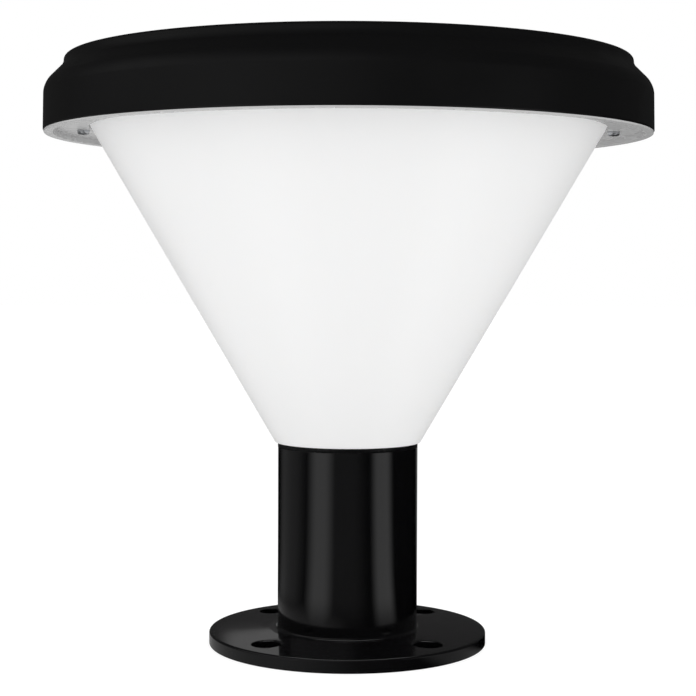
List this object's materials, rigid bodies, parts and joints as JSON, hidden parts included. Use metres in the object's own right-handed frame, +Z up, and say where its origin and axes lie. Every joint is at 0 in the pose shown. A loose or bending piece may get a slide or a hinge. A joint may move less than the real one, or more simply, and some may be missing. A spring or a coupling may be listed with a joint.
{
  "type": "solar wall-top light",
  "caption": "Round solar light head with an opal cone diffuser on a short black tube and a round bolted flange, for the top of a wall or pillar.",
  "frame": {"origin": "centre of the flange's underside, which rests on the wall", "axes": "+Z up along the tube's axis; the view is along +Y, so -Y faces the viewer and +X is at the right"},
  "size_m": [0.218, 0.218, 0.2108],
  "materials": {
    "flange_enamel": "gloss black enamel on steel",
    "tube_enamel": "gloss black enamel on steel",
    "blackened_screw": "satin black zinc",
    "neck_plastic": "moulded black",
    "screw_steel": "bright zinc",
    "opal_plastic": "opal white, smooth",
    "seal_rubber": "soft black",
    "soffit_plastic": "pale grey, fine texture",
    "housing_plastic": "black, fine texture",
    "adhesive": "cured sealant",
    "backsheet": "dark laminate",
    "silicon": "dark blue cell",
    "tinned_copper": "tinned ribbon",
    "panel_glass": "clear, toughened",
    "tray_plastic": "moulded white",
    "cradle_plastic": "moulded black",
    "cell_wrap": "shrink-wrapped cell",
    "nickel": "nickel strip",
    "board_green": "solder mask",
    "ferrite": "ferrite core",
    "can": "capacitor can",
    "chip_resin": "moulded resin",
    "socket_plastic": "natural nylon",
    "thermal_pad": "soft pad",
    "board_white": "white mask on metal core",
    "phosphor": "phosphor window",
    "lead_sleeve": "soft sleeve",
    "switch_plastic": "moulded black",
    "button_plastic": "dark grey"
  },
  "bodies": {
    "base": {"wall_flange": "flange_enamel", "weld_bead": "flange_enamel", "mount_tube": "tube_enamel", "grub_screws": "blackened_screw"},
    "head": {"neck_spigot": "neck_plastic", "neck_gasket": "seal_rubber", "neck_screws": "screw_steel", "diffuser": "opal_plastic", "diffuser_gasket": "seal_rubber", "soffit_ring": "soffit_plastic", "soffit_seal": "seal_rubber", "soffit_screws": "screw_steel", "top_housing": "housing_plastic", "panel_adhesive": "adhesive", "panel_backsheet": "backsheet", "solar_cells": "silicon", "cell_ribbons": "tinned_copper", "panel_glass": "panel_glass", "panel_seal": "seal_rubber", "gear_tray": "tray_plastic", "battery_cradle": "cradle_plastic", "battery_cells": "cell_wrap", "battery_tabs": "nickel", "control_board": "board_green", "board_screws": "screw_steel", "charge_inductor": "ferrite", "board_capacitors": "can", "board_chips": "chip_resin", "wire_sockets": "socket_plastic", "thermal_pad": "thermal_pad", "led_board": "board_white", "led_emitters": "phosphor", "led_screws": "screw_steel", "panel_wires": "lead_sleeve", "battery_wires": "lead_sleeve", "led_wires": "lead_sleeve", "switch_wires": "lead_sleeve", "switch_body": "switch_plastic", "switch_seal": "seal_rubber"},
    "button": {"power_button": "button_plastic"}
  },
  "joints": [
    {"name": "head_turn", "type": "hinge", "parent": "base", "child": "head", "pos_m": [0, 0, 0.072], "axis": [0, 0, 1], "continuous": true},
    {"name": "button_press", "type": "slide", "parent": "head", "child": "button", "axis": [0, 0, 1], "range_m": [0, 0.0012], "stiffness_N_per_m": 500, "springref_m": -0.002}
  ]
}
